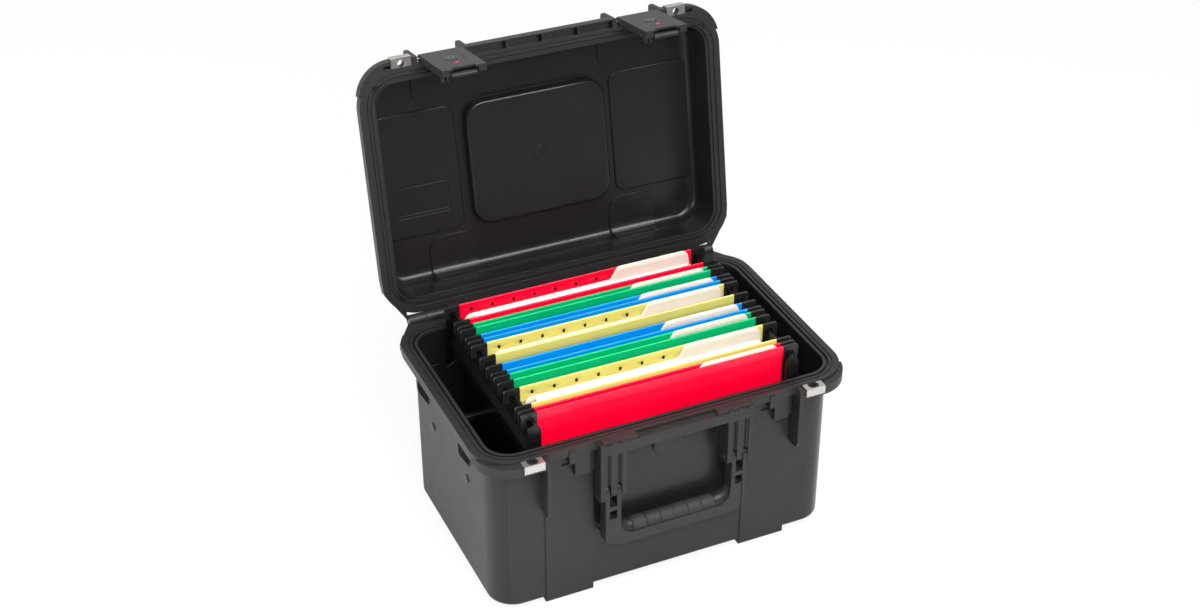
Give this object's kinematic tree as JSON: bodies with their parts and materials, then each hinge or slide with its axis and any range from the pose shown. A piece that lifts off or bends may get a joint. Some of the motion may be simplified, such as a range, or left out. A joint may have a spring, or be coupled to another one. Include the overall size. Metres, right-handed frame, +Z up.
{
  "type": "portable file box",
  "caption": "Moulded carrying case for hanging files with hinged lid, trigger latches, padlock eyes, folding front handle and coloured hanging folders on side rails.",
  "frame": {"origin": "on the ground plane under the middle of the tub", "axes": "+Z up, front of the case with the handle towards -Y, hinge at the back towards +Y, +X to the right seen from above with the back up"},
  "size_m": [0.454, 0.426, 0.5451],
  "materials": {
    "case_shell": "fine textured moulding",
    "moulded_trim": "smooth satin moulding",
    "inner_plastic": "glossy moulding",
    "steel_eye": "stainless, brushed",
    "steel_pin": "plain",
    "soft_grip": "soft ribbed rubber",
    "seal": "matt",
    "screw": "black coated",
    "lock_barrel": "dark satin",
    "red_button": "glossy",
    "folder_red": "smooth pressboard",
    "folder_green": "smooth pressboard",
    "folder_blue": "smooth pressboard",
    "folder_yellow": "smooth pressboard",
    "hanger_rod": "black coated",
    "manila_card": "smooth card",
    "white_paper": "plain sheets"
  },
  "bodies": {
    "base": {"base_shell": "case_shell", "boss_plate": "moulded_trim", "base_eye_left": "steel_eye", "base_eye_right": "steel_eye", "hinge_pin_left": "steel_pin", "hinge_pin_right": "steel_pin", "handle_pins": "steel_pin", "file_frame_left": "inner_plastic", "file_frame_right": "inner_plastic", "divider_left": "inner_plastic", "divider_right": "inner_plastic", "wall_screws": "screw"},
    "lid": {"lid_shell": "case_shell", "rim_seal": "seal", "lid_eye_left": "steel_eye", "lid_eye_right": "steel_eye", "latch_pin_left": "steel_pin", "latch_pin_right": "steel_pin"},
    "handle": {"handle_frame": "moulded_trim", "handle_grip": "soft_grip"},
    "latch_left": {"latch_body_left": "moulded_trim", "trigger_pin_left": "steel_pin"},
    "trigger_left": {"latch_trigger_left": "moulded_trim"},
    "lock_left": {"latch_lock_left": "lock_barrel"},
    "button_left": {"latch_button_left": "red_button"},
    "latch_right": {"latch_body_right": "moulded_trim", "trigger_pin_right": "steel_pin"},
    "trigger_right": {"latch_trigger_right": "moulded_trim"},
    "lock_right": {"latch_lock_right": "lock_barrel"},
    "button_right": {"latch_button_right": "red_button"},
    "folder_1": {"sleeve_1": "folder_red", "rods_1": "hanger_rod", "file_1": "manila_card", "papers_1": "white_paper"},
    "folder_2": {"sleeve_2": "folder_green", "rods_2": "hanger_rod", "file_2": "manila_card"},
    "folder_3": {"sleeve_3": "folder_blue", "rods_3": "hanger_rod", "file_3": "manila_card"},
    "folder_4": {"sleeve_4": "folder_yellow", "rods_4": "hanger_rod", "file_4": "manila_card", "papers_4": "white_paper"},
    "folder_5": {"sleeve_5": "folder_blue", "rods_5": "hanger_rod", "file_5": "manila_card"},
    "folder_6": {"sleeve_6": "folder_green", "rods_6": "hanger_rod", "file_6": "manila_card"},
    "folder_7": {"sleeve_7": "folder_yellow", "rods_7": "hanger_rod", "file_7": "manila_card", "papers_7": "white_paper"},
    "folder_8": {"sleeve_8": "folder_red", "rods_8": "hanger_rod", "file_8": "manila_card"}
  },
  "joints": [
    {"name": "lid_hinge", "type": "hinge", "parent": "base", "child": "lid", "pos_m": [0, 0.159, 0.221], "axis": [1, 0, 0], "range_deg": [0, 100]},
    {"name": "handle_hinge", "type": "hinge", "parent": "base", "child": "handle", "pos_m": [0, -0.149, 0.15], "axis": [-1, 0, 0], "range_deg": [0, 95]},
    {"name": "latch_hinge_left", "type": "hinge", "parent": "lid", "child": "latch_left", "pos_m": [-0.1235, 0.21839, 0.52612], "axis": [-1, 0, 0], "range_deg": [-4.5, 95]},
    {"name": "trigger_hinge_left", "type": "hinge", "parent": "latch_left", "child": "trigger_left", "pos_m": [-0.1235, 0.15406, 0.53564], "axis": [1, 0, 0], "range_deg": [0, 10], "stiffness_Nm_per_rad": 0.2},
    {"name": "lock_turn_left", "type": "hinge", "parent": "latch_left", "child": "lock_left", "pos_m": [-0.1235, 0.18285, 0.53767], "axis": [0, 0.1736, 0.9848], "range_deg": [0, 90]},
    {"name": "button_press_left", "type": "slide", "parent": "latch_left", "child": "button_left", "axis": [0, -0.1736, -0.9848], "range_m": [0, 0.001], "stiffness_N_per_m": 200},
    {"name": "latch_hinge_right", "type": "hinge", "parent": "lid", "child": "latch_right", "pos_m": [0.1235, 0.21839, 0.52612], "axis": [-1, 0, 0], "range_deg": [-4.5, 95]},
    {"name": "trigger_hinge_right", "type": "hinge", "parent": "latch_right", "child": "trigger_right", "pos_m": [0.1235, 0.15406, 0.53564], "axis": [1, 0, 0], "range_deg": [0, 10], "stiffness_Nm_per_rad": 0.2},
    {"name": "lock_turn_right", "type": "hinge", "parent": "latch_right", "child": "lock_right", "pos_m": [0.1235, 0.18285, 0.53767], "axis": [0, 0.1736, 0.9848], "range_deg": [0, 90]},
    {"name": "button_press_right", "type": "slide", "parent": "latch_right", "child": "button_right", "axis": [0, -0.1736, -0.9848], "range_m": [0, 0.001], "stiffness_N_per_m": 200},
    {"name": "folder_slide_1", "type": "slide", "parent": "base", "child": "folder_1", "axis": [0, 1, 0], "range_m": [-0.0065, 0.003]},
    {"name": "folder_slide_2", "type": "slide", "parent": "base", "child": "folder_2", "axis": [0, 1, 0], "range_m": [-0.012, 0.0065]},
    {"name": "folder_slide_3", "type": "slide", "parent": "base", "child": "folder_3", "axis": [0, 1, 0], "range_m": [-0.005, 0.012]},
    {"name": "folder_slide_4", "type": "slide", "parent": "base", "child": "folder_4", "axis": [0, 1, 0], "range_m": [-0.0155, 0.005]},
    {"name": "folder_slide_5", "type": "slide", "parent": "base", "child": "folder_5", "axis": [0, 1, 0], "range_m": [-0.0035, 0.0155]},
    {"name": "folder_slide_6", "type": "slide", "parent": "base", "child": "folder_6", "axis": [0, 1, 0], "range_m": [-0.0125, 0.0035]},
    {"name": "folder_slide_7", "type": "slide", "parent": "base", "child": "folder_7", "axis": [0, 1, 0], "range_m": [-0.0045, 0.0125]},
    {"name": "folder_slide_8", "type": "slide", "parent": "base", "child": "folder_8", "axis": [0, 1, 0], "range_m": [-0.005, 0.0045]}
  ]
}
